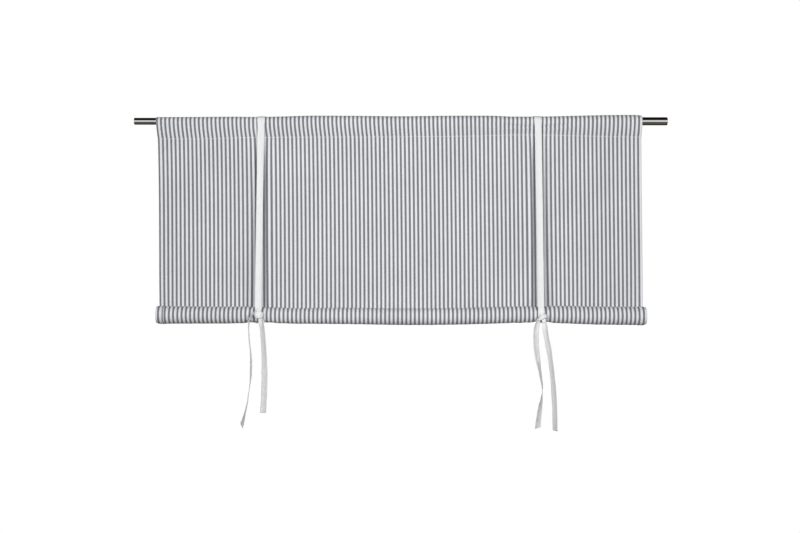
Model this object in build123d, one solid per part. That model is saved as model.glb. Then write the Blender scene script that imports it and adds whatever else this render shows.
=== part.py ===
from build123d import *
import math
import os

# A tie-up blind, also called a roll-up blind: a flat striped cotton cloth hung by a sewn
# pocket on a telescopic curtain rod, its lower part rolled up by hand towards the front and
# held up by two tapes, each passed over the pocket and round the roll and knotted in front.
#
# Millimetres. +X runs along the rod to the right, +Y into the wall, +Z up. The origin is on
# the rod's axis at the seat of the right-hand bracket.

# ---- Curtain rod -----------------------------------------------------------------------
rod_length = 1312.0            # over both tubes, as hung
outer_tube_diameter = 20.0
outer_tube_wall = 1.2
outer_tube_length = 900.0
inner_tube_wall = 1.0
inner_tube_length = 800.0
telescope_clearance = 0.3      # radial gap between the two tubes
tube_end_chamfer = 0.3
bracket_seat_inset = 20.0      # from a tube's end to the middle of its bracket seat

# ---- Cloth -----------------------------------------------------------------------------
cloth_thickness = 0.8
cloth_width = 1196.0           # of the pocket and the roll
panel_draw_in = 1.5            # how far each edge of the hanging panel stands inside that
cloth_shift = -3.0             # the cloth's middle, from the rod's middle
pocket_clearance = 0.4         # radial gap between the outer tube and the pocket's top
pocket_depth = 50.0            # from the pocket's top fold down to its seam
roll_diameter = 41.0
roll_drop = 477.0              # from the rod's axis down to the roll's axis
roll_forward = 5.4             # the roll's axis, in front of the rod's axis

# ---- Ties ------------------------------------------------------------------------------
tape_width = 20.0
tape_thickness = 1.0
tie_clearance = 0.5            # between a tie and the pocket or the roll inside it
tie_spacing = 680.0            # between the two ties where they cross the rod
tie_lean = 0.7                 # degrees that each tie runs outward on its way down
knot_width = 18.0
knot_height = 18.0
knot_depth = 12.0
knot_rounding = 4.0
knot_bedding = 0.5             # how far a knot's back is pressed into its own tape
arc_share = 0.45               # share of the shorter run that each bend of a tail takes up

# Each knot: how far it sits right of its tape's middle, and above the roll's axis.
left_knot_shift = 2.3
left_knot_rise = 3.7
right_knot_shift = 2.6
right_knot_rise = -7.3

# Each tail: how far its flat is turned from facing the front, in degrees, and the points
# that it hangs through. They are measured right and up from the middle of its knot, and
# back from where the turned tape would just touch the front of the roll.
tails = {
    "left_tie_left_tail": (
        72.0,
        [
            (-7.0, -0.5, 6.5),
            (-18.5, -2.5, -4.5),
            (-24.8, -3.5, -24.0),
            (-23.3, -2.0, -55.5),
            (-18.3, 2.0, -111.0),
            (-20.3, 5.5, -163.5),
            (-27.2, 4.5, -214.0),
            (-35.6, 1.5, -249.5),
            (-41.6, 0.5, -271.5),
        ],
    ),
    "left_tie_right_tail": (
        -42.0,
        [
            (4.5, -1.0, -7.0),
            (9.4, -2.0, -29.5),
            (12.7, -2.0, -71.5),
            (14.7, 0.0, -117.0),
            (14.5, 2.0, -166.5),
            (13.1, 2.5, -210.0),
            (11.1, 2.0, -241.5),
        ],
    ),
    "right_tie_left_tail": (
        48.0,
        [
            (-8.5, 0.5, 1.0),
            (-14.8, -1.0, -14.0),
            (-17.3, -1.5, -41.5),
            (-15.8, -0.5, -75.5),
            (-6.9, 2.0, -129.0),
            (1.5, 3.0, -174.5),
            (-4.5, 2.5, -212.0),
            (-9.4, 1.0, -243.5),
            (-11.9, 0.0, -267.5),
        ],
    ),
    "right_tie_right_tail": (
        -55.0,
        [
            (5.0, 0.0, -6.0),
            (6.2, -1.0, -27.0),
            (13.9, -1.5, -64.5),
            (22.8, 0.5, -119.0),
            (28.2, 2.5, -176.5),
            (30.9, 3.0, -230.0),
            (31.2, 2.5, -274.0),
        ],
    ),
}

# ---- Worked out from the sizes above ---------------------------------------------------
rod_right_end = bracket_seat_inset
rod_left_end = rod_right_end - rod_length
outer_bore = outer_tube_diameter - 2 * outer_tube_wall
inner_tube_diameter = outer_bore - 2 * telescope_clearance
cloth_middle = (rod_right_end + rod_left_end) / 2 + cloth_shift

pocket_inner_radius = outer_tube_diameter / 2 + pocket_clearance
pocket_outer_radius = pocket_inner_radius + cloth_thickness
seam_height = pocket_outer_radius - pocket_depth
roll_radius = roll_diameter / 2
roll_centre = (-roll_forward, -roll_drop)
roll_front = -roll_forward - roll_radius
tie_outer_gap = tie_clearance + tape_thickness


def belt(upper, upper_radius, lower, lower_radius):
    """The outline round two circles in the YZ plane, as a tight belt would lie on them."""
    run = (lower[0] - upper[0], lower[1] - upper[1])
    distance = math.hypot(*run)
    along = (run[0] / distance, run[1] / distance)
    slant = (upper_radius - lower_radius) / distance
    level = math.sqrt(1 - slant**2)

    def on_circle(centre, radius, side):
        away_y = along[0] * slant - side * along[1] * level
        away_z = along[1] * slant + side * along[0] * level
        return (centre[0] + radius * away_y, centre[1] + radius * away_z)

    top = (upper[0] - upper_radius * along[0], upper[1] - upper_radius * along[1])
    bottom = (lower[0] + lower_radius * along[0], lower[1] + lower_radius * along[1])
    back_high = on_circle(upper, upper_radius, 1)
    back_low = on_circle(lower, lower_radius, 1)
    front_high = on_circle(upper, upper_radius, -1)
    front_low = on_circle(lower, lower_radius, -1)
    outline = [
        ThreePointArc(front_high, top, back_high),
        Line(back_high, back_low),
        ThreePointArc(back_low, bottom, front_low),
        Line(front_low, front_high),
    ]
    return make_face(outline)


def across(face, middle, width):
    """A face drawn in the YZ plane, extruded to a width centred on x = middle."""
    return Pos(middle - width / 2, 0, 0) * extrude(Plane.YZ * face, width)


def tube(diameter, wall, left_end, right_end):
    """A plain-cut tube along X with lightly broken outer edges."""
    lying = Rot(0, 90, 0)
    length = right_end - left_end
    radius = diameter / 2
    solid = Pos((left_end + right_end) / 2, 0, 0) * lying * Cylinder(radius, length)
    solid = chamfer(solid.edges().filter_by(GeomType.CIRCLE), tube_end_chamfer)
    bore = Pos((left_end + right_end) / 2, 0, 0) * lying * Cylinder(radius - wall, length)
    return solid - bore


def blind_cloth():
    """Pocket, hanging panel and rolled-up part: one sewn and rolled cloth."""
    seam = (0.0, seam_height)
    inside_fold = (0.0, seam_height + 1.5 * cloth_thickness)
    fold_radius = cloth_thickness / 4
    pocket = belt((0.0, 0.0), pocket_outer_radius, seam, cloth_thickness)
    pocket -= belt((0.0, 0.0), pocket_inner_radius, inside_fold, fold_radius)
    half = cloth_thickness / 2
    roll_back = (roll_centre[0] + roll_radius - half, roll_centre[1])
    panel = belt(seam, half, roll_back, half)
    roll = Pos(*roll_centre) * Circle(roll_radius)
    solid = across(pocket, cloth_middle, cloth_width)
    solid += across(panel, cloth_middle, cloth_width - 2 * panel_draw_in)
    solid += across(roll, cloth_middle, cloth_width)
    return solid


def tie_band():
    """The loop of tape over the pocket and round the roll, upright at x = 0."""
    loop = belt(
        (0.0, 0.0),
        pocket_outer_radius + tie_outer_gap,
        roll_centre,
        roll_radius + tie_outer_gap,
    )
    loop -= belt(
        (0.0, 0.0),
        pocket_outer_radius + tie_clearance,
        roll_centre,
        roll_radius + tie_clearance,
    )
    return across(loop, 0.0, tape_width)


def knot_centre(tie_x, outward, shift, rise):
    """Middle of a knot that sits on the front of the roll, on its leaning tape."""
    height = roll_centre[1] + rise
    lean_shift = -outward * height * math.tan(math.radians(tie_lean))
    tape_front = roll_front - tie_outer_gap
    return Vector(tie_x + lean_shift + shift, tape_front + knot_bedding - knot_depth / 2, height)


def tie(tie_x, outward, knot_at):
    """A tape's held loop with its knot; outward is -1 for the left tie and 1 for the right."""
    band = Pos(tie_x, 0, 0) * Rot(0, -outward * tie_lean, 0) * tie_band()
    knot = Box(knot_width, knot_depth, knot_height)
    knot = Pos(*knot_at) * fillet(knot.edges(), knot_rounding)
    return band + knot


def bend_radii(points):
    """The bend at each inner point, as large as its two runs leave room for."""
    radii = []
    for before, here, after in zip(points, points[1:], points[2:]):
        arriving = here - before
        leaving = after - here
        half_turn = math.radians(arriving.get_angle(leaving) / 2)
        shorter = min(arriving.length, leaving.length)
        radii.append(arc_share * shorter / math.tan(half_turn))
    return radii


def tail(name, knot_at, facing, offsets):
    """A free end of tape: straight runs joined by tangent arcs, flat in section."""
    reach = tape_width / 2 * abs(math.sin(math.radians(facing)))
    hanging_line = Vector(knot_at.X, roll_front - reach, knot_at.Z)
    points = [hanging_line + Vector(*offset) for offset in offsets]
    radii = bend_radii(points)
    path = FilletPolyline(*points, radius=radii)
    start = points[1] - points[0]
    flat_normal = Vector(0, -1, 0).rotate(Axis.Z, facing)
    broadside = start.cross(flat_normal)
    section_plane = Plane(origin=points[0], x_dir=broadside, z_dir=start)
    section = section_plane * Rectangle(tape_width, tape_thickness)
    solid = sweep(section, path=path)
    share = solid.volume / (tape_width * tape_thickness * path.length)
    print(name, "length", round(path.length, 1), "volume share", round(share, 4))
    print("   bend radii", [round(radius) for radius in radii])
    return solid


left_tie_x = cloth_middle - tie_spacing / 2
right_tie_x = cloth_middle + tie_spacing / 2
left_knot = knot_centre(left_tie_x, -1, left_knot_shift, left_knot_rise)
right_knot = knot_centre(right_tie_x, 1, right_knot_shift, right_knot_rise)

outer_left_end = rod_right_end - outer_tube_length
inner_right_end = rod_left_end + inner_tube_length

nodes = {
    "rod_outer_tube": tube(outer_tube_diameter, outer_tube_wall, outer_left_end, rod_right_end),
    "rod_inner_tube": tube(inner_tube_diameter, inner_tube_wall, rod_left_end, inner_right_end),
    "blind_cloth": blind_cloth(),
    "left_tie": tie(left_tie_x, -1, left_knot),
    "right_tie": tie(right_tie_x, 1, right_knot),
}
for tail_name, (facing, offsets) in tails.items():
    knot_at = left_knot if tail_name.startswith("left_tie") else right_knot
    nodes[tail_name] = tail(tail_name, knot_at, facing, offsets)

os.makedirs("parts", exist_ok=True)
for node_name, shape in nodes.items():
    export_step(shape, f"parts/{node_name}.step")
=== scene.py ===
import math

import bpy
import numpy as np
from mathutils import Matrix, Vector


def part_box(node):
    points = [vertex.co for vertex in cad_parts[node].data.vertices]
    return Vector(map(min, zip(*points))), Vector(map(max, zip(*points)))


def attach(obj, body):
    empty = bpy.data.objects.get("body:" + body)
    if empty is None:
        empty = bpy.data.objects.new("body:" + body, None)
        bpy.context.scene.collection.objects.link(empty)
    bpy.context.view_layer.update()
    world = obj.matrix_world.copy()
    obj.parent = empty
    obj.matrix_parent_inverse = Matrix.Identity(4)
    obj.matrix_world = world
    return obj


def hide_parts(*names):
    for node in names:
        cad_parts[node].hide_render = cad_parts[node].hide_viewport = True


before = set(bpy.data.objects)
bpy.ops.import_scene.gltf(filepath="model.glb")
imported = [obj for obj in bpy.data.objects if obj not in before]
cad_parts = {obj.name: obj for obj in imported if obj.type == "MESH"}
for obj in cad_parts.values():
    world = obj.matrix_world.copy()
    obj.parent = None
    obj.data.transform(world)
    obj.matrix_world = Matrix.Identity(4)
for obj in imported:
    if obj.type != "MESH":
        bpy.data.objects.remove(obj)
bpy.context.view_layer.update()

# A tie-up blind: striped cotton cloth hung by a sewn pocket on a telescopic rod, its lower
# part rolled up towards the front and held by two knotted tapes. Everything is in metres, in
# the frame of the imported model: +X along the rod to the right, +Y into the wall, +Z up, with
# the rod's axis at y = 0, z = 0.

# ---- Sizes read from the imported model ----
cloth_low, cloth_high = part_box("blind_cloth")
outer_low, outer_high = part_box("rod_outer_tube")
inner_low, inner_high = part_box("rod_inner_tube")

CLOTH_WIDTH = cloth_high.x - cloth_low.x
CLOTH_MIDDLE = (cloth_high.x + cloth_low.x) / 2
HALF_WIDTH = CLOTH_WIDTH / 2
OUTER_RADIUS = outer_high.z
INNER_RADIUS = inner_high.z
TUBE_STEP = outer_low.x - CLOTH_MIDDLE  # where the thicker tube ends, in cloth measure
ROD_LENGTH = outer_high.x - inner_low.x
ROD_MIDDLE = (outer_high.x + inner_low.x) / 2
ROLL_RADIUS = (cloth_high.y - cloth_low.y) / 2
ROLL_Y = (cloth_high.y + cloth_low.y) / 2
ROLL_Z = cloth_low.z + ROLL_RADIUS
ROLL_FRONT = cloth_low.y

# ---- Ties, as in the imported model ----
TIE_PLACE = 0.340             # of each tie on the rod, from the cloth's middle
TIE_LEAN = math.radians(0.7)  # outward on the way down
TAPE_WIDTH = 0.020
TAPE_THICKNESS = 0.0008
TAPE_COLUMNS = 11             # mesh points across a tape
TAIL_ROWS = 110               # and along each of its tails
CUT_ROWS = 6                  # of them that the slant of the cut end bends
KNOT_ROWS = 48                # rings along a strand of a knot
KNOT_RING = 24                # points in each ring
TIE_GAP = 0.0005              # between a held tie and the cloth inside it
BAND_CREASES = 0.00022        # height of the creases along a held tie
TAIL_CREASES = 0.0003
TIE_TO_KNOT_MIDDLE = 0.0070   # from the roll's front forward to a knot's middle
KNOTS = {                     # shift to the right of its tape, rise over the roll
    "left_tie": (-1, 0.0023, 0.0037),
    "right_tie": (1, 0.0026, -0.0073),
}

# ---- Tails of the ties ----
# Each tail has its length, how far its route is turned from facing the front, in degrees,
# and how far its cut end slants along it. The route is the points that it hangs through,
# measured right and up from the middle of its knot, and back from where the turned tape
# would just touch the front of the roll. At shares of the length, turns say how the tape
# faces, in degrees, with its other face showing past 90, and cups how hollow its section is.
TAILS = {
    "left_tie_left_tail": {
        "length": 0.286, "turned": 72.0, "slant": 0.007,
        "route": [
            (-0.0070, -0.0005, 0.0065), (-0.0185, -0.0025, -0.0045), (-0.0248, -0.0035, -0.0240),
            (-0.0233, -0.0020, -0.0555), (-0.0183, 0.0020, -0.1110), (-0.0203, 0.0055, -0.1635),
            (-0.0272, 0.0045, -0.2140), (-0.0356, 0.0015, -0.2495), (-0.0416, 0.0005, -0.2715),
        ],
        "turns": [(0, 70), (0.12, 90), (0.3, 92), (0.48, 82), (0.72, 94), (0.85, 88), (1, 68)],
        "cups": [(0, 0.0016), (0.2, 0.0009), (0.7, 0.0008), (1, 0.0014)],
    },
    "left_tie_right_tail": {
        "length": 0.235, "turned": -42.0, "slant": -0.001,
        "route": [
            (0.0045, -0.0010, -0.0070), (0.0094, -0.0020, -0.0295), (0.0127, -0.0020, -0.0715),
            (0.0147, 0.0000, -0.1170), (0.0145, 0.0020, -0.1665), (0.0131, 0.0025, -0.2100),
            (0.0111, 0.0020, -0.2415),
        ],
        "turns": [(0, -34), (0.12, -48), (0.3, -49), (0.6, -39), (1, -38)],
        "cups": [(0, 0.0035), (0.15, 0.0010), (0.6, 0.0006), (1, 0.0012)],
    },
    "right_tie_left_tail": {
        "length": 0.272, "turned": 48.0, "slant": 0.003,
        "route": [
            (-0.0085, 0.0005, 0.0010), (-0.0148, -0.0010, -0.0140), (-0.0173, -0.0015, -0.0415),
            (-0.0158, -0.0005, -0.0755), (-0.0069, 0.0020, -0.1290), (0.0015, 0.0030, -0.1745),
            (-0.0045, 0.0025, -0.2120), (-0.0094, 0.0010, -0.2435), (-0.0119, 0.0000, -0.2675),
        ],
        "turns": [(0, 46), (0.25, 42), (0.47, 62), (0.68, 84), (0.8, 110), (1, 124)],
        "cups": [(0, 0.0035), (0.2, 0.0014), (0.65, 0.0006), (1, 0.0012)],
    },
    "right_tie_right_tail": {
        "length": 0.270, "turned": -55.0, "slant": 0.0005,
        "route": [
            (0.0050, 0.0000, -0.0060), (0.0062, -0.0010, -0.0270), (0.0139, -0.0015, -0.0645),
            (0.0228, 0.0005, -0.1190), (0.0282, 0.0025, -0.1765), (0.0309, 0.0030, -0.2300),
            (0.0312, 0.0025, -0.2740),
        ],
        "turns": [(0, -44), (0.1, -57), (0.25, -58), (0.46, -65), (0.68, -60), (1, -63)],
        "cups": [(0, 0.0035), (0.15, 0.0018), (0.6, 0.0012), (1, 0.0008)],
    },
}

# ---- Cloth ----
CLOTH_THICKNESS = 0.0006
LAYER_STEP = 0.00075          # between the layers of a sewn hem
STRIPE_PERIOD = 0.01032
STRIPE_DARK_SHARE = 0.49
STRIPE_BLUR = 0.00018         # half the width of a stripe's soft edge
YARN_WANDER = 0.0007          # how far the yarns at a stripe's edge stray
WEAVE_PITCH = 0.0009
FIRST_STRIPE = 0.0015         # its middle, in from the left edge
SIDE_HEM_WIDTH = 0.018
HEM_STRIPE_SHIFT = {-1: 0.0025, 1: 0.0055}  # at the left and the right, so that both folds are light
SEAM_ALLOWANCE = 0.0015       # of cloth below the pocket's stitches
SEAM_DRAW = 0.9951            # the cloth's width at the seam, as a share
ROLL_DRAW = 1.0037            # and at the roll
SEAM_SHIFT = 0.00025          # to the right, at the seam
ROLL_SHIFT = 0.0042           # and at the roll, as the panel leans
TOP_ROOM = 0.0006             # from the tube to the middle of the cloth over it
SIDE_ROOM = 0.0007            # and beside it
SLIDE_ROOM = 0.040            # the pocket is wide this far past the thick tube
POCKET_CLING = math.radians(76)  # how far round under the rod a full tuck goes
POCKET_BACK_ROW = 8           # the row of the pocket's back that is sewn
POCKET_TOP_ROWS = 19          # mesh rows over the rod
POCKET_FRONT_ROWS = 9         # and down to the seam
STITCH_LENGTH = 0.0037
STITCH_PITCH = 0.0042
THREAD_THICKNESS = 0.0010
STITCH_INSET = 0.0025         # of a side hem's stitches from its inner edge
PANEL_ROWS = 40               # mesh rows from the seam down to the roll
ROLL_TURNS = 9
OUTER_TURN_ROWS = 30
INNER_TURN_ROWS = 18
COARSE_SEGMENTS = 56          # mesh columns across the hidden turns of the roll
FINE_PER_COARSE = 6           # mesh columns for each of those elsewhere
ROLL_CORE = 0.0030            # radius of the innermost turn

# The shape of the cloth along its width: (place from the cloth's middle, value).
TOP_HEIGHT = [
    (-0.598, 0.0102), (-0.50, 0.0106), (-0.41, 0.0112), (-0.36, 0.0106), (-0.31, 0.0112),
    (-0.206, 0.0138), (-0.1, 0.0133), (0.0, 0.0123), (0.134, 0.0136), (0.22, 0.0137),
    (0.287, 0.0114), (0.34, 0.0114), (0.4, 0.0126), (0.484, 0.0146), (0.54, 0.0155),
    (0.58, 0.0156), (0.598, 0.0142),
]
SEAM_HEIGHT = [
    (-0.598, -0.0436), (-0.492, -0.0433), (-0.369, -0.0398), (-0.245, -0.0391),
    (0.013, -0.0382), (0.2, -0.0360), (0.297, -0.0335), (0.34, -0.0335), (0.395, -0.0346),
    (0.484, -0.0370), (0.598, -0.0388),
]
FOLD_SHIFT = [                # of the pocket's top fold, beyond its seam
    (-0.598, -0.0028), (-0.41, -0.0024), (-0.285, -0.0029), (-0.1, -0.0033), (0.0, -0.0020),
    (0.2, -0.0014), (0.28, -0.0006), (0.45, -0.0002), (0.598, 0.0004),
]
POCKET_TUCK = [               # how far round the rod's underside it clings
    (-0.598, 0.0), (-0.40, 0.1), (-0.345, 0.7), (-0.29, 0.1), (0.0, 0.0), (0.16, 0.15),
    (0.27, 0.8), (0.34, 1.0), (0.41, 0.7), (0.46, 0.1), (0.598, 0.0),
]
ROLL_RISE = [
    (-0.598, 0.0008), (-0.50, 0.0003), (-0.42, 0.0002), (-0.36, 0.0014), (-0.31, -0.0002),
    (-0.25, -0.0022), (-0.15, -0.0020), (0.02, -0.0040), (0.12, -0.0030), (0.2, -0.0012),
    (0.30, 0.0016), (0.36, 0.0020), (0.42, 0.0006), (0.48, -0.0012), (0.598, -0.0022),
]
ROLL_SIZE = [                 # radius of the roll's outer turn
    (-0.598, 0.0224), (-0.585, 0.0231), (-0.52, 0.0225), (-0.42, 0.0219), (-0.37, 0.0208),
    (-0.34, 0.0194), (-0.31, 0.0199), (-0.24, 0.0197), (-0.15, 0.0206), (0.0, 0.0213),
    (0.15, 0.0218), (0.25, 0.0215), (0.30, 0.0213), (0.34, 0.0200), (0.38, 0.0221),
    (0.43, 0.0226), (0.5, 0.0228), (0.585, 0.0231), (0.598, 0.0223),
]

# ---- View ----
CAMERA_DISTANCE = 3.0
CAMERA_DROP = 0.3578          # of the level camera below the rod's axis
CAMERA_SIDE_STEP = -0.0019    # from the rod's middle
ROD_SHARE_OF_FRAME = 0.6656   # of the frame's width that the rod spans
SENSOR_WIDTH = 36.0
FLOOR_DROP = 2.0
FLOOR_RADIUS = 3.2
FLOOR_LIGHT_DROP = 0.95       # its own light hangs below the blind and faces down
FLOOR_LIGHT_SIZE = 6.4
FLOOR_LIGHT_POWER = 100

# ---- Light ----
# Name, place beside the rod's middle, before or behind it and above it, size and watts.
STUDIO_LIGHTS = [
    ("key_light", -0.85, -2.2, -0.12, 0.7, 20.4),
    ("fill_light", 0.85, -2.2, -0.15, 0.7, 20.8),
    ("middle_light", 0.0, -1.6, -0.15, 0.8, 7.4),
    ("back_light", 0.5, 3.4, -0.1, 1.9, 90),
]
SOFT_SURROUND = [             # from straight below to straight above
    (0.0, (0.04, 0.04, 0.04)),
    (0.42, (0.115, 0.116, 0.118)),
    (0.50, (0.37, 0.373, 0.38)),
    (0.59, (0.37, 0.373, 0.38)),
    (0.68, (0.12, 0.121, 0.124)),
    (1.0, (0.03, 0.03, 0.03)),
]
MIRRORED_ROOM = [             # from level behind, under, level in front, over
    (0.0, (0.05, 0.045, 0.038)),
    (0.18, (0.030, 0.026, 0.020)),
    (0.24, (0.07, 0.055, 0.040)),
    (0.30, (0.17, 0.130, 0.092)),
    (0.37, (0.12, 0.098, 0.070)),
    (0.428, (0.13, 0.120, 0.105)),
    (0.446, (0.92, 0.92, 0.92)),
    (0.559, (0.95, 0.95, 0.95)),
    (0.577, (0.010, 0.010, 0.010)),
    (0.92, (0.006, 0.006, 0.006)),
    (0.95, (0.70, 0.70, 0.70)),
    (1.0, (0.75, 0.75, 0.75)),
]


# ---- Curves ----
def smooth_through(places, x):
    """A smooth curve through given (place, value) pairs, without overshoot."""
    knots, values = np.array(places, float).T
    x = np.clip(x, knots[0], knots[-1])
    slopes = np.diff(values) / np.diff(knots)
    tangents = np.zeros(len(knots))
    same_way = slopes[:-1] * slopes[1:] > 0
    tangents[1:-1][same_way] = (2 * slopes[:-1] * slopes[1:])[same_way]
    tangents[1:-1][same_way] /= (slopes[:-1] + slopes[1:])[same_way]
    tangents[0], tangents[-1] = slopes[0], slopes[-1]
    i = np.clip(np.searchsorted(knots, x, side="right") - 1, 0, len(knots) - 2)
    gap = knots[i + 1] - knots[i]
    t = (x - knots[i]) / gap
    start = (1 + 2 * t) * (1 - t) ** 2 * values[i] + t * (1 - t) ** 2 * gap * tangents[i]
    end = t**2 * (3 - 2 * t) * values[i + 1] - t**2 * (1 - t) * gap * tangents[i + 1]
    return start + end


def smooth_step(x):
    """0 below 0, 1 above 1, and a smooth rise between."""
    x = np.clip(x, 0.0, 1.0)
    return x * x * (3 - 2 * x)


def bump(x, centre, spread):
    """A rounded hump of height 1 at the centre."""
    return np.exp(-(((x - centre) / spread) ** 2))


def waves(x, seed, count, shortest, longest):
    """A smooth irregular wave along x, of height about 1, the same for the same seed."""
    random = np.random.default_rng(seed)
    total = np.zeros_like(x)
    for _ in range(count):
        length = random.uniform(shortest, longest)
        total = total + np.sin(2 * math.pi * (x / length + random.uniform()))
    return total / math.sqrt(count)


def placed(name, data):
    """A new object in the scene."""
    made = bpy.data.objects.new(name, data)
    bpy.context.scene.collection.objects.link(made)
    return made


def spline_points(name, points, resolution=24):
    """Points read from the NURBS spline of order 3 whose control points are given."""
    curve = bpy.data.curves.new(name, "CURVE")
    curve.dimensions = "3D"
    curve.resolution_u = resolution
    spline = curve.splines.new("NURBS")
    spline.points.add(len(points) - 1)
    for place, point in zip(spline.points, points):
        place.co = (*point, 1.0)
    spline.order_u = 3
    spline.use_endpoint_u = True
    holder = placed(name, curve)
    bpy.context.view_layer.update()
    mesh = bpy.data.meshes.new_from_object(holder)
    read = np.array([vertex.co for vertex in mesh.vertices], float)
    bpy.data.meshes.remove(mesh)
    bpy.data.objects.remove(holder)
    bpy.data.curves.remove(curve)
    return read


def lengths_along(points):
    """Distance along a line of points, from its first."""
    steps = np.linalg.norm(np.diff(points, axis=0), axis=1)
    return np.concatenate([[0.0], np.cumsum(steps)])


def read_at(places, along, points):
    """What a line of points or directions is at places along it."""
    return np.stack([np.interp(places, along, points[:, k]) for k in range(3)], axis=-1)


def evenly(points, count):
    """A line of points read again at even steps."""
    along = lengths_along(points)
    return read_at(np.linspace(0, along[-1], count), along, points)


def unit(vectors):
    """Vectors brought to length 1."""
    return vectors / np.linalg.norm(vectors, axis=-1, keepdims=True)


def directions(points):
    """Unit direction of a line at each of its points."""
    return unit(np.gradient(points, axis=0))


def square_to(ahead, ways):
    """The unit directions square to a line that lie nearest the given ways."""
    return unit(ways - ahead * np.sum(ways * ahead, axis=1, keepdims=True))


# ---- Meshes ----
def mesh_object(name, places, faces, cloth_places, material):
    """A smooth-shaded mesh; cloth_places is its UV map, in metres of cloth or tape."""
    mesh = bpy.data.meshes.new(name)
    mesh.from_pydata([tuple(p) for p in places], [], faces)
    mesh.update()
    layer = mesh.uv_layers.new(name="cloth")
    corner_vertices = np.empty(len(mesh.loops), np.int32)
    mesh.loops.foreach_get("vertex_index", corner_vertices)
    layer.data.foreach_set("uv", np.asarray(cloth_places, np.float32)[corner_vertices].ravel())
    mesh.shade_smooth()
    mesh.materials.append(material)
    return placed(name, mesh)


def grid_faces(rows, columns, first=0, closed=False):
    """Faces of a grid whose rows run one after another; closed joins last row to first."""
    faces = []
    for row in range(rows if closed else rows - 1):
        here = first + row * columns
        there = first + ((row + 1) % rows) * columns
        for column in range(columns - 1):
            faces.append((here + column, here + column + 1, there + column + 1, there + column))
    return faces


def tube_faces(rings, count, first):
    """Faces of a tube of rings of count points each, with a cap at both ends."""
    faces = []
    for ring in range(rings - 1):
        here, there = first + ring * count, first + (ring + 1) * count
        for k in range(count):
            after = (k + 1) % count
            faces.append((here + k, here + after, there + after, there + k))
    last = first + (rings - 1) * count
    faces.append(tuple(range(first + count - 1, first - 1, -1)))
    faces.append(tuple(range(last, last + count)))
    return faces


def uv_grid(across, along):
    """The UV places of a grid, from its places across and along the cloth or tape."""
    return np.stack(np.broadcast_arrays(across[None, :], along[:, None]), axis=-1).reshape(-1, 2)


def thicken(piece, thickness):
    """Gives a sheet its thickness, half on each side."""
    solidify = piece.modifiers.new("thickness", "SOLIDIFY")
    solidify.thickness = thickness
    solidify.offset = 0.0
    solidify.use_even_offset = False
    return piece


def strip_object(name, grid, across, along, material, thickness, closed=False):
    """A thick strip from rows of points, and their places across and along it."""
    faces = grid_faces(*grid.shape[:2], closed=closed)
    piece = mesh_object(name, grid.reshape(-1, 3), faces, uv_grid(across, along), material)
    return thicken(piece, thickness)


# ---- Materials ----
class NodeTree:
    """A material's or the world's nodes, under construction."""

    def __init__(self, tree):
        self.nodes, self.links = tree.nodes, tree.links

    def add(self, kind, settings=None, **inputs):
        """A node with its settings, and its inputs set or linked by name."""
        node = self.nodes.new("ShaderNode" + kind)
        for key, value in (settings or {}).items():
            setattr(node, key, value)
        for key, value in inputs.items():
            self.feed(node.inputs[key], value)
        return node

    def feed(self, socket, value):
        """Links the socket to another, or sets its number or colour."""
        if isinstance(value, bpy.types.NodeSocket):
            self.links.new(value, socket)
        else:
            socket.default_value = value

    def fill(self, node, *values):
        """The first output of a node whose inputs are set or linked in their order."""
        for socket, value in zip(node.inputs, values):
            self.feed(socket, value)
        return node.outputs[0]

    def math(self, operation, *values):
        """The result of a Math node on numbers or sockets."""
        return self.fill(self.add("Math", {"operation": operation}), *values)

    def times(self, first, second):
        return self.math("MULTIPLY", first, second)

    def plus(self, first, second):
        return self.math("ADD", first, second)


class Shader(NodeTree):
    """A node material under construction."""

    def __init__(self, name):
        self.material = bpy.data.materials.new(name)
        self.material.use_nodes = True
        super().__init__(self.material.node_tree)
        self.surface = self.nodes["Principled BSDF"]

    def wave(self, place, length):
        """A sine wave of that length along a coordinate."""
        return self.math("SINE", self.times(place, 2 * math.pi / length))

    def mix(self, share, first, second, blend="MIX"):
        """A colour between two colours, or the two blended."""
        node = self.add("Mix", {"data_type": "RGBA", "blend_type": blend}, Factor=share, A=first, B=second)
        return node.outputs["Result"]

    def between(self, value, low, high, out_low=0.0, out_high=1.0, smooth=False):
        """The value brought from one range into another, and kept in it."""
        node = self.add("MapRange", {"interpolation_type": "SMOOTHSTEP" if smooth else "LINEAR"})
        return self.fill(node, value, low, high, out_low, out_high)

    def cloth_place(self):
        """The two cloth coordinates, in metres."""
        place = self.add("UVMap", {"uv_map": "cloth"})
        parts = self.add("SeparateXYZ", Vector=place.outputs[0])
        return parts.outputs[0], parts.outputs[1]

    def noise(self, across, along, scale, detail=2.0, roughness=0.5):
        """Noise over cloth coordinates that may be stretched by scaling them first."""
        place = self.add("CombineXYZ", X=across, Y=along).outputs[0]
        node = self.add("TexNoise", Vector=place, Scale=scale, Detail=detail, Roughness=roughness)
        return node.outputs[0]

    def solid_noise(self, place, scale, detail):
        """Noise over the object's own space."""
        return self.add("TexNoise", Vector=place, Scale=scale, Detail=detail).outputs[0]

    def set(self, **values):
        """Sets the surface's own inputs; underscores in names stand for spaces."""
        for key, value in values.items():
            self.feed(self.surface.inputs[key.replace("_", " ")], value)

    def relief(self, height, distance, strength):
        """Bump from a height between 0 and 1."""
        node = self.add("Bump", Height=height, Distance=distance, Strength=strength)
        self.set(Normal=node.outputs[0])


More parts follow.
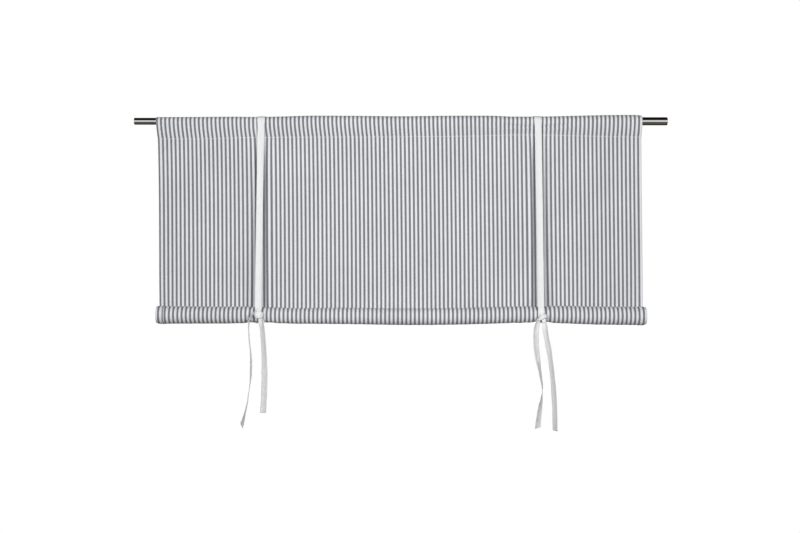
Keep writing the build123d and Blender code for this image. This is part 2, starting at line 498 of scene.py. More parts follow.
def plain_weave(shader, across, along, pitch):
    """Height of a plain weave of threads at that pitch, and where the warp lies on top."""
    warp = shader.math("ABSOLUTE", shader.wave(across, pitch))
    weft = shader.math("ABSOLUTE", shader.wave(along, pitch))
    over = shader.times(shader.wave(across, 2 * pitch), shader.wave(along, 2 * pitch))
    ridges = shader.times(shader.plus(warp, weft), 0.25)
    height = shader.plus(shader.plus(ridges, shader.times(over, 0.25)), 0.25)
    return height, shader.between(over, -0.35, 0.35, smooth=True)


def striped_cotton():
    """Yarn-dyed cotton: even grey stripes on white, in a plain weave."""
    shader = Shader("striped_cotton")
    across, along = shader.cloth_place()
    wander = shader.noise(shader.times(across, 3.0), along, 260.0)
    yarn_edge = shader.times(shader.math("SUBTRACT", wander, 0.5), YARN_WANDER)
    from_first = shader.plus(shader.plus(across, yarn_edge), HALF_WIDTH - FIRST_STRIPE)
    from_middle = shader.math("PINGPONG", from_first, STRIPE_PERIOD / 2)
    edge = STRIPE_DARK_SHARE * STRIPE_PERIOD / 2
    stripe = shader.between(from_middle, edge - STRIPE_BLUR, edge + STRIPE_BLUR, 1.0, 0.0, smooth=True)

    height, warp_over = plain_weave(shader, across, along, WEAVE_PITCH)
    slub = shader.noise(shader.times(across, 30.0), along, 45.0, 3.0, 0.6)
    weft_slub = shader.noise(across, shader.times(along, 30.0), 45.0, 3.0, 0.6)
    cloudy = shader.noise(across, along, 9.0, 3.0, 0.55)
    light_yarn = shader.mix(slub, (0.70, 0.71, 0.745, 1), (0.82, 0.825, 0.85, 1))
    dark_warp = shader.mix(slub, (0.112, 0.119, 0.136, 1), (0.168, 0.175, 0.192, 1))
    dark_weft = shader.mix(weft_slub, (0.178, 0.185, 0.20, 1), (0.27, 0.277, 0.295, 1))
    dark_yarn = shader.mix(shader.times(warp_over, 0.7), dark_weft, dark_warp)
    yarns = shader.mix(stripe, light_yarn, dark_yarn)
    shade = shader.between(cloudy, 0.3, 0.7, 0.95, 1.03)
    grey = shader.add("CombineXYZ", X=shade, Y=shade, Z=shade).outputs[0]
    shader.set(Base_Color=shader.mix(1.0, yarns, grey, "MULTIPLY"))
    shader.set(Roughness=shader.between(slub, 0.2, 0.8, 0.82, 0.94))
    shader.set(Specular_IOR_Level=0.25, Sheen_Weight=0.12, Sheen_Roughness=0.5)
    slubs = shader.times(shader.plus(slub, weft_slub), 0.5)
    shader.relief(shader.plus(height, slubs), 0.00016, 0.7)
    return shader.material


def cotton_tape():
    """White herringbone tape: slanting ribs that turn at the middle, and firm edges."""
    shader = Shader("cotton_tape")
    across, along = shader.cloth_place()
    from_middle = shader.math("ABSOLUTE", across)
    slant = shader.plus(shader.math("PINGPONG", across, 0.0033), along)
    ribs = shader.between(shader.wave(slant, 0.0014), -1.0, 1.0)
    threads = shader.wave(across, 0.0007)
    wear = shader.noise(across, along, 70.0, 4.0, 0.6)
    creases = shader.noise(shader.times(across, 6.0), along, 28.0, 3.0, 0.6)
    selvedge = shader.between(from_middle, TAPE_WIDTH * 0.43, TAPE_WIDTH * 0.48, smooth=True)
    white = shader.mix(wear, (0.815, 0.818, 0.822, 1), (0.90, 0.904, 0.910, 1))
    shadowed = shader.mix(wear, (0.765, 0.768, 0.772, 1), (0.85, 0.854, 0.860, 1))
    shader.set(Base_Color=shader.mix(ribs, shadowed, white))
    shader.set(Roughness=shader.between(creases, 0.2, 0.8, 0.8, 0.92))
    shader.set(Specular_IOR_Level=0.25, Sheen_Weight=0.1, Sheen_Roughness=0.5)
    body = shader.times(shader.plus(ribs, shader.times(threads, 0.3)), 0.5)
    ribbed = shader.times(body, shader.math("SUBTRACT", 1.0, selvedge))
    relief = shader.plus(ribbed, shader.times(creases, 0.8))
    shader.relief(shader.plus(relief, shader.times(selvedge, 0.5)), 0.0003, 0.7)
    return shader.material


def sewing_thread():
    """White sewing thread, twisted."""
    shader = Shader("sewing_thread")
    across, along = shader.cloth_place()
    strands = shader.plus(shader.times(across, 0.6), along)
    twist = shader.between(shader.wave(strands, 0.0006), -1.0, 1.0)
    # Painted shade: the twist's grooves are coloured a darker grey than its crests, as shade between the
    # strands.
    shader.set(Base_Color=shader.mix(twist, (0.74, 0.745, 0.76, 1), (0.90, 0.90, 0.90, 1)))
    shader.set(Roughness=0.6, Specular_IOR_Level=0.35)
    shader.relief(twist, 0.0001, 0.6)
    return shader.material


def polished_steel():
    """Bright chromed steel tube: drawn lines along it, and faint smudges."""
    shader = Shader("polished_steel")
    place = shader.add("TexCoord").outputs["Object"]
    stretched = shader.add("Mapping", Vector=place, Scale=(1.0, 60.0, 60.0)).outputs[0]
    drawn = shader.solid_noise(stretched, 14.0, 4.0)
    smudge = shader.solid_noise(place, 38.0, 3.0)
    shader.set(Metallic=1.0)
    shader.set(Base_Color=shader.mix(smudge, (0.62, 0.625, 0.63, 1), (0.72, 0.725, 0.735, 1)))
    shader.set(Roughness=shader.between(smudge, 0.3, 0.75, 0.05, 0.11))
    shader.relief(drawn, 0.00002, 0.06)
    return shader.material


def pale_floor():
    """A plain pale floor."""
    shader = Shader("pale_floor")
    grain = shader.solid_noise(shader.add("TexCoord").outputs["Object"], 3.0, 3.0)
    shader.set(Base_Color=shader.mix(grain, (0.78, 0.78, 0.775, 1), (0.82, 0.82, 0.815, 1)))
    shader.set(Roughness=0.7)
    return shader.material


# ---- Cloth ----
def tie_line(side, height):
    """Where a tie's middle is at a height, in cloth measure; side is -1 or 1."""
    return side * (TIE_PLACE - height * math.tan(TIE_LEAN))


def column_places():
    """Cloth coordinates of the mesh columns, closer together near the ties and the ends."""
    usual_gap, tie_gap, end_gap = 0.0050, 0.0015, 0.004
    even = np.linspace(-HALF_WIDTH, HALF_WIDTH, 6001)
    density = 1 / usual_gap + sum(bump(even, side * 0.343, 0.032) for side in (-1, 1)) / tie_gap
    density += sum(bump(even, side * HALF_WIDTH, 0.012) for side in (-1, 1)) / end_gap
    share = np.concatenate([[0.0], np.cumsum((density[1:] + density[:-1]) / 2)])
    share /= share[-1]
    count = FINE_PER_COARSE * COARSE_SEGMENTS + 1
    return np.interp(np.linspace(0, 1, count), share, even)


def tie_fold(dx, reach, depth, lips):
    """How far back the cloth lies dx beside a tie: a valley behind it, between two lips."""
    inside = smooth_step((reach - np.abs(dx)) / (reach - 0.0085))
    return depth * inside - lips * bump(np.abs(dx), reach + 0.0035, 0.0085)


class ClothLines:
    """Lines down the cloth at places u across it, from its sewn edge to the roll's core.

    grid holds rows by lines by (x, y, z), and along is how far down the cloth each row is.
    seam_row is the row at the pocket's seam, and the roll's outer turn ends at outer_rows.
    """

    def __init__(self, u):
        self.u = u
        self.rows = []
        self.seam_x = u * SEAM_DRAW + SEAM_SHIFT
        self.seam_y = 0.0008 * waves(u, 3, 3, 0.09, 0.25)
        self.seam_z = smooth_through(SEAM_HEIGHT, u)
        self.fold_shift = smooth_through(FOLD_SHIFT, u)
        self.pucker = 0.00022 * waves(u, 4, 4, 0.010, 0.022)
        self.outer = smooth_through(ROLL_SIZE, u) - CLOTH_THICKNESS / 2
        self.roll_z = ROLL_Z + smooth_through(ROLL_RISE, u)
        self.add_turned_edge()
        self.add_pocket()
        self.seam_row = len(self.rows) - 1
        self.add_panel()
        for k in range(1, OUTER_TURN_ROWS + 1):
            self.add(*self.roll_point(2 * math.pi * k / OUTER_TURN_ROWS))
        self.outer_rows = len(self.rows)
        for k in range(1, (ROLL_TURNS - 1) * INNER_TURN_ROWS + 1):
            self.add(*self.roll_point(2 * math.pi * (1 + k / INNER_TURN_ROWS)))
        self.grid = np.array(self.rows)
        self.grid[:, :, 0] += CLOTH_MIDDLE
        steps = np.linalg.norm(np.diff(self.grid, axis=0), axis=2).mean(axis=1)
        self.along = np.concatenate([[0.0], np.cumsum(steps)])

    def add(self, x, y, z):
        self.rows.append(np.stack(np.broadcast_arrays(x, y, z), axis=-1))

    def off_back(self):
        """Unit directions off the back of the cloth."""
        down = np.gradient(self.grid, axis=0)
        return unit(np.cross(np.array([1.0, 0.0, 0.0]), down))

    def add_turned_edge(self):
        """The sewn edge: turned in between the layers, then folded up the back."""
        bottom = self.seam_z - SEAM_ALLOWANCE
        for rise in (0.0090, 0.0045, 0.0010):
            self.add(self.seam_x, self.seam_y + LAYER_STEP, bottom + rise)
        middle_y = self.seam_y + 1.5 * LAYER_STEP
        for turn in (0, 45, 90, 135, 180):
            angle = math.radians(turn)
            y = middle_y - 0.5 * LAYER_STEP * math.cos(angle)
            self.add(self.seam_x, y, bottom - 0.5 * LAYER_STEP * math.sin(angle))

    def add_pocket(self):
        """Up the back, over the rod and under it at the ties, and down to the seam in front."""
        u, tuck = self.u, smooth_through(POCKET_TUCK, self.u)
        on_thick_tube = smooth_step((u - TUBE_STEP + SLIDE_ROOM) / 0.006)
        tube = INNER_RADIUS + (OUTER_RADIUS - INNER_RADIUS) * on_thick_tube
        hem_room = LAYER_STEP * smooth_step((np.abs(u) - HALF_WIDTH + 0.026) / 0.008)
        top = smooth_through(TOP_HEIGHT, u) - CLOTH_THICKNESS / 2
        top = np.maximum(top, tube + TOP_ROOM + hem_room)
        close = tube + SIDE_ROOM
        reach = hem_room + np.maximum(close, 0.4 * close + 0.6 * np.minimum(top, tube + 0.0022))
        for share in (0.05, 0.14, 0.28, 0.45, 0.62, 0.8):
            sway = share * share * (3 - 2 * share)
            y = (self.seam_y + 2 * LAYER_STEP) * (1 - sway) + reach * sway
            y = y + self.pucker * (1 - share)
            y = y + 0.0009 * waves(u, 11, 3, 0.05, 0.16) * math.sin(math.pi * share)
            z = self.seam_z * (1 - share) - SEAM_ALLOWANCE * (1 - share)
            self.add(self.seam_x + self.fold_shift * share * 0.8, y, z)
        for share in np.linspace(0, 1, POCKET_TOP_ROWS):
            angle = share * (math.pi + tuck * POCKET_CLING)
            puff = np.clip(np.sin(angle), 0, 1) ** 1.5
            under = tube + 0.0009 + 0.0050 * tuck
            z = np.where(np.sin(angle) > 0, top, under) * np.sin(angle)
            y = reach * np.cos(angle) - 0.0004 * puff * waves(u, 12, 3, 0.03, 0.09)
            self.add(self.seam_x + self.fold_shift, y, z)
        end_y, end_z = y, z
        for k in range(1, POCKET_FRONT_ROWS + 1):
            share = k / POCKET_FRONT_ROWS
            belly = (1 - tuck) * share * (1 - share)
            lip = tuck * smooth_step(share / 0.22) * (1 - share) ** 1.5
            y = end_y * (1 - share) + self.seam_y * share - 0.010 * belly - 0.0085 * lip
            y = y + self.pucker * share**3
            y = y + 0.0006 * waves(u, 13, 3, 0.03, 0.10) * math.sin(math.pi * share)
            z = end_z + (self.seam_z - end_z) * share
            self.add(self.seam_x + self.fold_shift * (1 - share**1.5), y, z)

    def add_panel(self):
        """Down the panel to the back of the roll, with a fold behind each tie."""
        u = self.u
        to_right = smooth_step((u + 0.4) / 0.8)
        lean_size = 0.0042 + (0.0016 * to_right - 0.0008 * bump(u, HALF_WIDTH, 0.05))
        lean_power = 1.8 - 0.7 * to_right
        for k in range(1, PANEL_ROWS + 1):
            share = k / PANEL_ROWS
            middle = math.sin(math.pi * share)
            z = self.seam_z + (self.roll_z - self.seam_z) * share
            lean = lean_size * (1 - (1 - share) ** lean_power)
            x = self.seam_x + (u - self.seam_x - 0.0006) * smooth_step(share) + lean
            hang = self.seam_y * (1 - share) + (ROLL_Y + self.outer) * share
            sway = 0.0011 * waves(u + 0.05 * share, 5, 4, 0.10, 0.30)
            ripple = 0.0005 * waves(u - 0.02 * share, 6, 4, 0.035, 0.08)
            settle = 0.0010 * waves(u, 7, 4, 0.05, 0.14) * bump(share, 0.97, 0.12)
            y = hang + (sway + ripple) * middle + settle * (1 - smooth_step((share - 0.97) / 0.03))
            y = y + self.pucker * bump(share, 0.0, 0.03)
            grown = smooth_step(share * 6)
            depth = 0.0064 * grown - 0.0026 * smooth_step((share - 0.7) / 0.3)
            lips = 0.0042 * grown + 0.0040 * bump(share, 0.93, 0.09)
            open_end = smooth_step((1 - share) / 0.05)
            for side in (-1, 1):
                dx = x - tie_line(side, z)
                y = y + tie_fold(dx, 0.0158 + 0.0060 * share, depth, lips) * open_end
                x = x - 0.0018 * np.sign(dx) * bump(np.abs(dx), 0.020, 0.012) * middle**0.5
            self.add(x, y, z)
        self.panel_end_x = x

    def roll_point(self, angle):
        """The cloth at an angle round the roll: under it, up the front, over and inward."""
        u = self.u
        turns = angle / (2 * math.pi)
        first_turn = smooth_step(1 - turns)
        after_start = smooth_step(turns * 8)
        radius = self.outer - (self.outer - ROLL_CORE) / ROLL_TURNS * turns
        radius = radius + 0.00045 * np.sin(2 * angle + 9 * u) * smooth_step(turns * 2)
        ripple = 0.00035 * waves(u + 0.01 * angle, 8, 4, 0.016, 0.05)
        tied = bump(u, tie_line(-1, ROLL_Z), 0.055) + bump(u, tie_line(1, ROLL_Z), 0.055)
        radius = radius + ripple * (0.5 + 1.3 * tied) * first_turn * after_start
        # Pinches beside each tie, on the front of the roll and where it turns over.
        front = bump(turns, 0.42, 0.16)
        for side, lift in ((-1, 0.010), (1, 0.0)):
            at = tie_line(side, ROLL_Z) - 0.0035
            radius = radius - 0.0022 * bump(u, at - 0.016 - lift, 0.007) * front
            radius = radius - 0.0014 * bump(u, at + 0.020, 0.006) * front
            for edge in (-0.0150, 0.0185):
                radius = radius - 0.0030 * bump(u, at + edge, 0.0050) * bump(turns, 0.68, 0.09)
        end_round = 0.0016 * smooth_step((np.abs(u) - HALF_WIDTH + 0.007) / 0.007) ** 2
        radius = radius - end_round * first_turn * after_start
        rolled_x = u * ROLL_DRAW + ROLL_SHIFT
        x = self.panel_end_x + (rolled_x - self.panel_end_x) * smooth_step(turns * 3)
        x = x + 0.0011 * np.sign(u) * np.sin(1.7 * angle) * smooth_step(turns - 0.6)
        return x, ROLL_Y + radius * np.cos(angle), self.roll_z - radius * np.sin(angle)


def blind_cloth(material):
    """The whole cloth as one mesh, with fewer columns in the hidden turns of the roll."""
    u = column_places()
    lines = ClothLines(u)
    coarse = np.arange(0, len(u), FINE_PER_COARSE)
    rows = lines.outer_rows
    fine, rough = lines.grid[:rows], lines.grid[rows:][:, coarse]
    places = np.concatenate([fine.reshape(-1, 3), rough.reshape(-1, 3)])
    uv = np.concatenate([uv_grid(u, lines.along[:rows]), uv_grid(u[coarse], lines.along[rows:])])
    faces = grid_faces(rows, len(u))
    first = rows * len(u)
    last = first - len(u)
    for segment in range(COARSE_SEGMENTS):
        left, right = first + segment, first + segment + 1
        start = last + segment * FINE_PER_COARSE
        half = FINE_PER_COARSE // 2
        faces += [(start + k, start + k + 1, left) for k in range(half)]
        faces.append((start + half, right, left))
        faces += [(start + k, start + k + 1, right) for k in range(half, FINE_PER_COARSE)]
    faces += grid_faces(len(rough), len(coarse), first)
    piece = mesh_object("blind_cloth_sheet", places, faces, uv, material)
    return thicken(piece, CLOTH_THICKNESS), lines.along[-1]


def side_hem(name, side, material):
    """The cloth's side edge, folded to its back and laid flat: -1 is the left, 1 the right."""
    fold_angles = np.radians([0, 45, 90, 135, 180])
    beyond = 0.5 * LAYER_STEP * np.sin(fold_angles)
    lift = 0.5 * LAYER_STEP * (1 - np.cos(fold_angles))
    inward = np.array([0.002, 0.006, 0.0105, 0.015, SIDE_HEM_WIDTH])
    inset = np.concatenate([-beyond, inward])
    lift = np.concatenate([lift, np.full(len(inward), LAYER_STEP)])
    lines = ClothLines(side * (HALF_WIDTH - np.maximum(inset, 0.0)))
    places = lines.grid + lines.off_back() * lift[None, :, None]
    places[:, :, 0] += side * np.maximum(-inset, 0.0)[None, :]
    measure = side * (HALF_WIDTH + HEM_STRIPE_SHIFT[side] + np.abs(inset))
    return strip_object(name, places, measure, lines.along, material, CLOTH_THICKNESS)


def stitch_line(lines, name, material):
    """Rows of stitches; each line is its points on the cloth and the way off the cloth."""
    ring = np.radians(np.arange(0, 360, 60))
    # Along a stitch: shares of its length, and how thick and how high its thread is there.
    shares = np.array([-0.5, -0.4, -0.15, 0.15, 0.4, 0.5])
    sizes = np.array([0.35, 0.8, 1.0, 1.0, 0.8, 0.35])
    heights = np.array([-0.8, 0.1, 0.45, 0.45, 0.1, -0.8])
    radius = THREAD_THICKNESS / 2
    places, uv, faces = [], [], []
    for points, off in lines:
        measured = lengths_along(points)
        for k in range(int(measured[-1] / STITCH_PITCH)):
            at = (k + 0.5) * STITCH_PITCH
            middle = read_at(at, measured, points)
            up = read_at(at, measured, off)
            ahead = unit(read_at(at + 0.001, measured, points) - middle)
            side = np.cross(up, ahead)
            faces += tube_faces(len(sizes), len(ring), len(places))
            for share, size, height in zip(shares, sizes, heights):
                centre = middle + ahead * share * STITCH_LENGTH + up * height * radius
                for angle in ring:
                    outward = math.cos(angle) * side + math.sin(angle) * up
                    places.append(centre + size * radius * outward)
                    uv.append((radius * angle, share * STITCH_LENGTH))
    return mesh_object(name, places, faces, uv, material)


def pocket_stitches(material):
    """The pocket's seam, seen from both sides of the cloth."""
    lines = ClothLines(np.linspace(-HALF_WIDTH + 0.004, HALF_WIDTH - 0.004, 600))
    off = lines.off_back()
    seam = []
    for row in (lines.seam_row, POCKET_BACK_ROW):
        seam.append((lines.grid[row] - off[row] * CLOTH_THICKNESS / 2, -off[row]))
    return stitch_line(seam, "pocket_stitches", material)


def side_hem_stitches(material):
    """The side hems' stitches down to the roll's outer turn, on both sides of the cloth."""
    sides = []
    for side in (-1, 1):
        lines = ClothLines(np.array([side * (HALF_WIDTH - SIDE_HEM_WIDTH + STITCH_INSET)]))
        sewn = slice(POCKET_BACK_ROW, lines.outer_rows)
        line, off = lines.grid[sewn, 0], lines.off_back()[sewn, 0]
        sides.append((line - off * CLOTH_THICKNESS / 2, -off))
        sides.append((line + off * (LAYER_STEP + CLOTH_THICKNESS / 2), off))
    return stitch_line(sides, "side_hem_stitches", material)


# ---- Tapes ----
def tape_ribbon(name, axes, widths, cups, creases, seed, material, slant=0.0, closed=False):
    """A cupped and creased tape; axes are the points of its line and its own two axes there."""
    centre, across, facing = axes
    shares = np.linspace(-1, 1, TAPE_COLUMNS)
    along = lengths_along(centre)
    flatness = np.sqrt(np.maximum(1 - (1.6 * cups / widths)[:, None] ** 2, 0.2))
    sideways = shares[None, :] * (widths / 2)[:, None] * flatness
    hollow = cups[:, None] * (0.5 - shares[None, :] ** 2)
    long_creases = waves(along[:, None] + 0.012 * shares[None, :], seed, 4, 0.018, 0.07)
    short_creases = waves(along[:, None] - 0.02 * shares[None, :], seed + 1, 4, 0.008, 0.02)
    hollow = hollow + creases * long_creases + 0.6 * creases * short_creases
    places = centre[:, None, :] + across[:, None, :] * sideways[:, :, None]
    places = places + facing[:, None, :] * hollow[:, :, None]
    cut = slant * shares[:, None] * directions(centre)[-1][None, :]
    for k in range(CUT_ROWS):
        places[len(centre) - CUT_ROWS + k] += cut * ((k + 1) / CUT_ROWS) ** 2
    flat = shares * TAPE_WIDTH / 2
    return strip_object(name, places, flat, along, material, TAPE_THICKNESS, closed)


def knot_middle(tie):
    """Middle of a tie's knot on the front of the roll."""
    side, shift, rise = KNOTS[tie]
    height = ROLL_Z + rise
    x = CLOTH_MIDDLE + tie_line(side, height) + shift
    return np.array([x, ROLL_FRONT - TIE_TO_KNOT_MIDDLE, height])


def arc(middle, radius, first, last, count):
    """Points on a circle from one angle to another."""
    turns = np.linspace(first, last, count)
    return middle + radius * np.column_stack([np.cos(turns), np.sin(turns)])


def tie_line_points(side):
    """The loop of a held tie as (y, z): up the front, over the pocket, down behind, under."""
    at = np.array([side * TIE_PLACE])
    gap = TIE_GAP + TAPE_THICKNESS / 2
    upper_radius = float(smooth_through(TOP_HEIGHT, at)[0]) + gap
    lower_radius = float(smooth_through(ROLL_SIZE, at)[0]) + gap
    lower = np.array([ROLL_Y, ROLL_Z + float(smooth_through(ROLL_RISE, at)[0])])
    distance = np.linalg.norm(lower)
    down = lower / distance
    lean = (upper_radius - lower_radius) / distance
    aside = np.array([-down[1], down[0]]) * math.sqrt(1 - lean**2)
    back, front = down * lean + aside, down * lean - aside
    front_turn = math.atan2(front[1], front[0]) % (2 * math.pi)
    back_turn = math.atan2(back[1], back[0])
    over_count, under_count, straight_count = 33, 41, 66
    over = arc(np.zeros(2), upper_radius, front_turn, back_turn, over_count)
    under = arc(lower, lower_radius, back_turn, front_turn - 2 * math.pi, under_count)
    shares = np.linspace(0, 1, straight_count)[1:-1, None]
    bow = 0.0012 * np.sin(math.pi * shares) * front[None, :]
    rising = under[-1] + (over[0] - under[-1]) * shares + bow
    falling = over[-1] + (under[0] - over[-1]) * shares
    # Behind, the tape also lies outside whatever of the cloth stands further back.
    lines = ClothLines(side * np.array([TIE_PLACE + 0.002]))
    behind = lines.grid[lines.seam_row + 1 : lines.seam_row + PANEL_ROWS + 1, 0][::-1]
    cloth_y = np.interp(falling[:, 1], behind[:, 2], behind[:, 1]) + CLOTH_THICKNESS / 2 + gap
    in_reach = smooth_step((behind[-1, 2] - falling[:, 1]) / 0.02)
    falling[:, 0] = np.maximum(falling[:, 0], cloth_y * in_reach)
    smoothings = 6
    for _ in range(smoothings):
        falling[1:-1, 0] = (falling[:-2, 0] + 2 * falling[1:-1, 0] + falling[2:, 0]) / 4
    return np.concatenate([rising, over, falling, under[:-1]])


def tie_band(tie, material):
    """The held loop of a tie: from the knot up the front, over the pocket, under the roll."""
    side = KNOTS[tie][0]
    line = tie_line_points(side)
    centre = np.column_stack([CLOTH_MIDDLE + tie_line(side, line[:, 1]), line])
    ahead = unit(np.roll(centre, -1, axis=0) - np.roll(centre, 1, axis=0))
    across = square_to(ahead, np.array([[1.0, 0.0, 0.0]]))
    facing = np.cross(ahead, across)
    to_knot = centre - knot_middle(tie) - [0, TIE_TO_KNOT_MIDDLE, 0]
    near_knot = bump(np.linalg.norm(to_knot, axis=1), 0, 0.022)
    fall = np.clip(centre[:, 2] / ROLL_Z, 0, 1)
    on_front = smooth_step((ROLL_Y * fall - centre[:, 1] + 0.004) / 0.012)
    in_front = centre[:, 1] < ROLL_Y * fall
    # Below the rod the free tape gathers a little, in front more than behind.
    gathered = np.where(in_front, 0.0020 + 0.0014 * fall, 0.0022 * fall)
    widths = TAPE_WIDTH - gathered * smooth_step(fall / 0.03)
    widths -= (0.0013 + 0.0008 * near_knot) * on_front
    # Under the knot it gathers into it, behind the right-hand tail.
    under_knot = on_front * smooth_step((knot_middle(tie)[2] + 0.003 - centre[:, 2]) / 0.008)
    widths -= 0.0070 * under_knot
    centre[:, 0] += 0.0040 * under_knot
    cups = np.where(in_front, 0.0018, 0.0006) * smooth_step((fall - 0.04) / 0.1)
    seed = 21 if side < 0 else 27
    axes = (centre, across, facing)
    name = tie + "_tape"
    band = tape_ribbon(name, axes, widths, cups, BAND_CREASES, seed, material, closed=True)
    round_it = np.linalg.norm(np.roll(centre, -1, axis=0) - centre, axis=1).sum()
    return band, float(round_it)


# The strands of each knot. Each stop gives how far right, back and up it is from the knot's
# middle, the way the bunched tape's width lies there, and how wide and thick it is.
SIDEWAYS, UPRIGHT, SLANTED = (1, 0, 0), (0, 0, 1), (0.7, 0, 0.7)
KNOT_STRANDS = {
    "left_tie": [[
        (0, 0.0082, 0.015, SIDEWAYS, 0.015, 0.0012),
        (0, 0.0058, 0.0105, SIDEWAYS, 0.0125, 0.0024),
        (-0.0005, 0.001, 0.005, SIDEWAYS, 0.01, 0.0034),
        (0.0002, -0.0018, 0, SIDEWAYS, 0.0085, 0.0038),
        (0.002, -0.0008, -0.005, SIDEWAYS, 0.009, 0.0034),
        (0.0045, 0, -0.0095, SIDEWAYS, 0.011, 0.0026),
    ], [
        (0.004, 0.0086, -0.012, SIDEWAYS, 0.009, 0.0012),
        (0.0045, 0.0062, -0.007, SIDEWAYS, 0.0085, 0.0026),
        (0.0072, 0.0035, -0.0025, SLANTED, 0.0095, 0.0036),
        (0.0092, -0.0015, -0.0015, UPRIGHT, 0.0135, 0.0048),
        (0.0052, -0.007, -0.0022, UPRIGHT, 0.016, 0.0056),
        (-0.0005, -0.0085, -0.0026, UPRIGHT, 0.0168, 0.0058),
        (-0.0062, -0.0066, -0.0016, UPRIGHT, 0.015, 0.0054),
        (-0.0092, -0.001, 0.002, UPRIGHT, 0.0112, 0.0042),
        (-0.0062, 0.0028, 0.007, SLANTED, 0.008, 0.0028),
        (-0.002, 0.0045, 0.0075, SLANTED, 0.008, 0.0024),
    ]],
    "right_tie": [[
        (-0.0012, 0.0082, 0.0165, SIDEWAYS, 0.015, 0.0012),
        (-0.001, 0.006, 0.012, SIDEWAYS, 0.0125, 0.0022),
        (0, 0.0018, 0.006, SIDEWAYS, 0.0105, 0.0032),
        (0.0012, -0.0008, 0, SIDEWAYS, 0.0095, 0.0038),
        (0.003, -0.0028, -0.0045, SIDEWAYS, 0.01, 0.0036),
        (0.0042, -0.0015, -0.009, SIDEWAYS, 0.01, 0.0032),
        (0.004, 0.002, -0.011, SIDEWAYS, 0.009, 0.0026),
    ], [
        (0.004, 0.0086, -0.012, SIDEWAYS, 0.009, 0.0012),
        (0.005, 0.0064, -0.006, SIDEWAYS, 0.009, 0.0026),
        (0.0075, 0.0038, 0.001, SLANTED, 0.009, 0.0034),
        (0.0102, -0.0012, 0.0052, UPRIGHT, 0.0085, 0.0044),
        (0.0064, -0.0066, 0.0052, UPRIGHT, 0.0092, 0.0048),
        (-0.0005, -0.008, 0.0026, UPRIGHT, 0.0092, 0.0048),
        (-0.0072, -0.0062, -0.0004, UPRIGHT, 0.0085, 0.0042),
        (-0.0104, -0.0015, -0.003, SLANTED, 0.008, 0.0032),
        (-0.0105, 0.001, -0.0065, SIDEWAYS, 0.009, 0.0024),
    ]],
}


def signed_power(value, power):
    """A power of a number's size that keeps its sign."""
    return math.copysign(abs(value) ** power, value)


def knot_piece(tie, material):
    """A hand-tied knot: bunched and pleated tape strands that wrap each other."""
    middle = knot_middle(tie)
    ring = np.linspace(0, 2 * math.pi, KNOT_RING + 1)[:-1]
    places, uv, faces = [], [], []
    for number, strand in enumerate(KNOT_STRANDS[tie]):
        *stops, ways, stop_widths, stop_depths = zip(*strand)
        line = evenly(spline_points("strand", list(middle + np.column_stack(stops))), KNOT_ROWS)
        measured = lengths_along(line)
        stations = np.linspace(0, 1, len(strand))
        shares = np.linspace(0, 1, len(line))
        widths = np.interp(shares, stations, stop_widths)
        depths = np.interp(shares, stations, stop_depths)
        ahead = directions(line)
        across = square_to(ahead, read_at(shares, stations, np.array(ways, float)))
        facing = np.cross(ahead, across)
        faces += tube_faces(len(line), len(ring), len(places))
        for k in range(len(line)):
            for angle in ring:
                pleat = 1 + 0.16 * math.sin(5 * angle + 1.3 * number + 5 * shares[k])
                aside = signed_power(math.cos(angle), 0.75) * widths[k] / 2
                out = signed_power(math.sin(angle), 0.9) * depths[k] / 2 * pleat
                places.append(line[k] + across[k] * aside + facing[k] * out)
                uv.append((TAPE_WIDTH * (angle / (2 * math.pi) - 0.5), measured[k]))
    return mesh_object(tie + "_knot", places, faces, uv, material)


def tail_piece(name, material):
    """A free end of tape that hangs from its knot, turning and cupped as it falls."""
    tail = TAILS[name]
    middle = knot_middle("left_tie" if name.startswith("left_tie") else "right_tie")
    reach = TAPE_WIDTH / 2 * abs(math.sin(math.radians(tail["turned"])))
    start = np.array([middle[0], ROLL_FRONT - reach, middle[2]])
    line = spline_points(name, [start + np.array(offset) for offset in tail["route"]])
    centre = evenly(line, TAIL_ROWS)
    shares = np.linspace(0, 1, len(centre))
    turns = np.radians(smooth_through(tail["turns"], shares))
    ahead = directions(centre)
    across = np.column_stack([np.cos(turns), np.sin(turns), np.zeros(len(centre))])
    across = square_to(ahead, across)
    axes = (centre, across, np.cross(across, ahead))
    widths = TAPE_WIDTH * (0.5 + 0.5 * smooth_step(shares / 0.10 + 0.25))
    cups = smooth_through(tail["cups"], shares)
    seed = 31 + sorted(TAILS).index(name) * 3
    piece = tape_ribbon(
        name + "_tape", axes, widths, cups, TAIL_CREASES, seed, material, slant=tail["slant"]
    )
    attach(piece, "blind")
    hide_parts(name)


# ---- Studio ----
def make_camera():
    """A level camera that looks along +Y from the front."""
    camera = bpy.data.cameras.new("camera")
    camera.sensor_width = SENSOR_WIDTH
    camera.lens = SENSOR_WIDTH * CAMERA_DISTANCE * ROD_SHARE_OF_FRAME / ROD_LENGTH
    holder = placed("camera", camera)
    holder.location = (ROD_MIDDLE + CAMERA_SIDE_STEP, -CAMERA_DISTANCE, -CAMERA_DROP)
    holder.rotation_euler = (math.pi / 2, 0, 0)
    bpy.context.scene.camera = holder


def area_light(name, place, target, size, power):
    """A soft square light that faces its target, and that metal doesn't mirror."""
    light = bpy.data.lights.new(name, "AREA")
    light.size = size
    light.energy = power
    holder = placed(name, light)
    holder.location = place
    aim = Vector(target) - Vector(place)
    holder.rotation_euler = aim.to_track_quat("-Z", "Y").to_euler()
    holder.visible_camera = False
    holder.visible_glossy = False


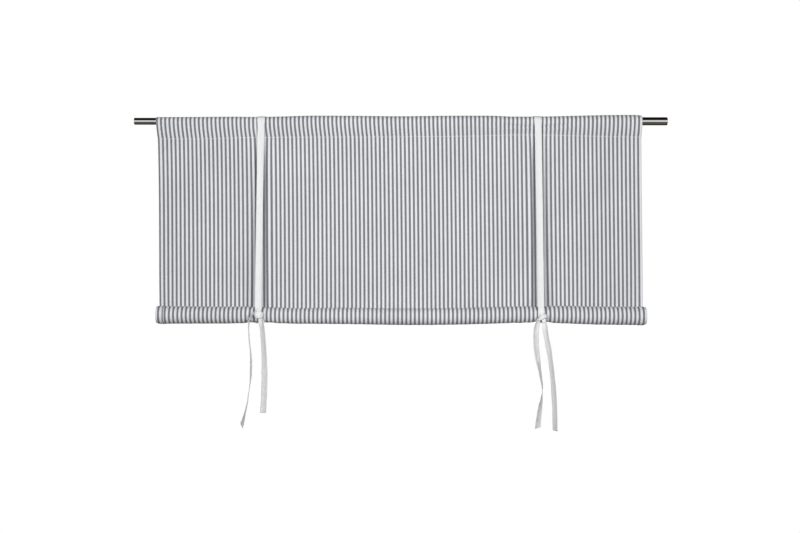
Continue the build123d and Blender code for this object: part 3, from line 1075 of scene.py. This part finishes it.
class Surround(NodeTree):
    """The world, lit in bands by height, or by the turn about the rod that its metal mirrors."""

    def __init__(self):
        world = bpy.data.worlds.new("surround")
        bpy.context.scene.world = world
        world.use_nodes = True
        super().__init__(world.node_tree)
        self.nodes.clear()
        place = self.add("TexCoord").outputs["Generated"]
        parts = self.add("SeparateXYZ", Vector=place)
        turn = self.math("ARCTAN2", parts.outputs["Z"], self.times(parts.outputs["Y"], -1.0))
        self.turn_share = self.math("MULTIPLY_ADD", turn, 1 / (2 * math.pi), 0.5)
        self.height_share = self.math("MULTIPLY_ADD", parts.outputs["Z"], 0.5, 0.5)

    def ramp(self, place, stops):
        """A light whose colour follows the stops: (place from 0 to 1, colour)."""
        node = self.add("ValToRGB", Fac=place)
        elements = node.color_ramp.elements
        while len(elements) > 1:
            elements.remove(elements[-1])
        elements[0].position = stops[0][0]
        elements[0].color = (*stops[0][1], 1)
        for position, colour in stops[1:]:
            elements.new(position).color = (*colour, 1)
        return self.add("Background", Color=node.outputs[0]).outputs[0]

    def choose(self, ray, usual, special):
        """The special light for that kind of ray, and the usual one for the rest."""
        is_ray = self.add("LightPath").outputs[ray]
        return self.fill(self.add("MixShader"), is_ray, usual, special)

    def use(self, light):
        """Lights the world with it."""
        self.add("OutputWorld", Surface=light)


def make_studio():
    """Soft lights, a pale floor, and a surround that the camera sees white and metal as a room."""
    for name, aside, away, height, size, power in STUDIO_LIGHTS:
        place = (ROD_MIDDLE + aside, away, height)
        area_light(name, place, (ROD_MIDDLE, 0, ROLL_Z / 2), size, power)
    under_blind = (ROD_MIDDLE, 0, -FLOOR_LIGHT_DROP)
    on_floor = (ROD_MIDDLE, 0, -FLOOR_DROP)
    area_light("floor_light", under_blind, on_floor, FLOOR_LIGHT_SIZE, FLOOR_LIGHT_POWER)
    surround = Surround()
    soft = surround.ramp(surround.height_share, SOFT_SURROUND)
    mirrored = surround.ramp(surround.turn_share, MIRRORED_ROOM)
    white = surround.ramp(surround.height_share, [(0.0, (1, 1, 1))])
    lit = surround.choose("Is Glossy Ray", soft, mirrored)
    surround.use(surround.choose("Is Camera Ray", lit, white))

    bpy.ops.mesh.primitive_circle_add(
        vertices=160, radius=FLOOR_RADIUS, fill_type="NGON", location=on_floor
    )
    floor = bpy.context.object
    floor.name = "floor"
    floor.data.materials.append(pale_floor())
    floor.visible_glossy = False
    floor.visible_diffuse = False
    bpy.context.scene.view_settings.view_transform = "Standard"


# ---- Build ----
make_camera()
make_studio()

steel = polished_steel()
for node in ("rod_outer_tube", "rod_inner_tube"):
    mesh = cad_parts[node].data
    mesh.materials.clear()
    mesh.materials.append(steel)

cotton = striped_cotton()
tape = cotton_tape()
thread = sewing_thread()

cloth, cut_length = blind_cloth(cotton)
cloth_pieces = [
    side_hem("left_side_hem", -1, cotton),
    side_hem("right_side_hem", 1, cotton),
    pocket_stitches(thread),
    side_hem_stitches(thread),
]
for piece in [cloth, *cloth_pieces]:
    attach(piece, "blind")
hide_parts("blind_cloth")

for tie in KNOTS:
    band, loop_length = tie_band(tie, tape)
    knot = knot_piece(tie, tape)
    for piece in (band, knot):
        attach(piece, "blind")
    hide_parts(tie)
for name in TAILS:
    tail_piece(name, tape)
